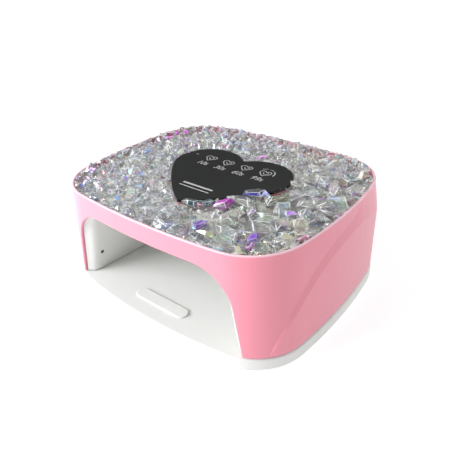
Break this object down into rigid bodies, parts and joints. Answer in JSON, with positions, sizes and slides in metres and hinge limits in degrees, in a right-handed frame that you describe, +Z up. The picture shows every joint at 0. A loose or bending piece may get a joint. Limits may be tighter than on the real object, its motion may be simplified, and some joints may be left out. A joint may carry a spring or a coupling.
{
  "type": "uv led nail lamp",
  "caption": "Desktop nail curing lamp: rounded box housing with a hand tunnel in front, a crystal-filled top around a heart-shaped touch panel, and a loose magnetic base tray.",
  "frame": {"origin": "centre of the lamp's footprint, on the surface that its rubber feet stand on", "axes": "+X to the right across the width as the user faces the hand opening, -Y towards the user, +Z up"},
  "size_m": [0.2474, 0.2132, 0.1055],
  "materials": {
    "pink_abs": "gloss moulded ABS, baby pink",
    "white_abs": "satin-gloss moulded ABS, white",
    "clear_resin": "clear cast resin",
    "crystal": "clear faceted chips with an iridescent coat",
    "black_acrylic": "polished black acrylic with printed icons",
    "adhesive": "double-sided adhesive sheet",
    "black_abs": "fine matt moulding",
    "circuit_board": "green solder mask on glass fibre",
    "aluminium_board": "white solder mask on an aluminium core",
    "can_aluminium": "drawn can",
    "ferrite": "sintered ferrite",
    "led_white": "surface-mount package",
    "led_chip": "surface-mount package with a yellow-green die window",
    "led_lens": "clear moulded lens with a faint violet cast",
    "spring_steel": "drawn wire",
    "tinned_metal": "tin plate",
    "zinc_screw": "bright zinc plate",
    "dark_lens": "dark infrared-pass moulding",
    "nickel_pin": "bright nickel plate",
    "magnet_nickel": "nickel-plated neodymium",
    "wire_pvc": "PVC insulation",
    "foot_rubber": "soft moulded foot"
  },
  "bodies": {
    "tray": {"base_tray": "white_abs", "tray_magnets": "magnet_nickel", "rubber_feet": "foot_rubber"},
    "housing": {"board_link_header": "black_abs", "buzzer": "black_abs", "control_board": "circuit_board", "control_board_screws": "zinc_screw", "control_chips": "black_abs", "crystal_bed": "clear_resin", "dc_jack": "black_abs", "dc_jack_nut": "nickel_pin", "dc_jack_pin": "nickel_pin", "digit_display": "black_abs", "display_pins": "tinned_metal", "heart_panel": "black_acrylic", "housing_magnets": "magnet_nickel", "housing_screws": "zinc_screw", "icon_leds": "led_white", "inner_liner": "white_abs", "ir_emitter": "dark_lens", "ir_receiver": "dark_lens", "large_crystals": "crystal", "led_board_back": "aluminium_board", "led_board_left": "aluminium_board", "led_board_right": "aluminium_board", "led_board_screws": "zinc_screw", "led_board_top": "aluminium_board", "led_chips_back": "led_chip", "led_chips_left": "led_chip", "led_chips_right": "led_chip", "led_chips_top": "led_chip", "led_leads": "wire_pvc", "led_lenses_back": "led_lens", "led_lenses_left": "led_lens", "led_lenses_right": "led_lens", "led_lenses_top": "led_lens", "light_baffle": "black_abs", "outer_shell": "pink_abs", "panel_glue": "adhesive", "power_capacitors": "can_aluminium", "power_header": "white_abs", "power_inductors": "ferrite", "power_leads": "wire_pvc", "sensor_boards": "circuit_board", "small_crystals": "crystal", "touch_springs": "spring_steel", "wire_headers": "white_abs"}
  },
  "joints": [
    {"name": "housing_lift", "type": "slide", "parent": "tray", "child": "housing", "axis": [0, 0, 1], "range_m": [0, 0.12]}
  ]
}
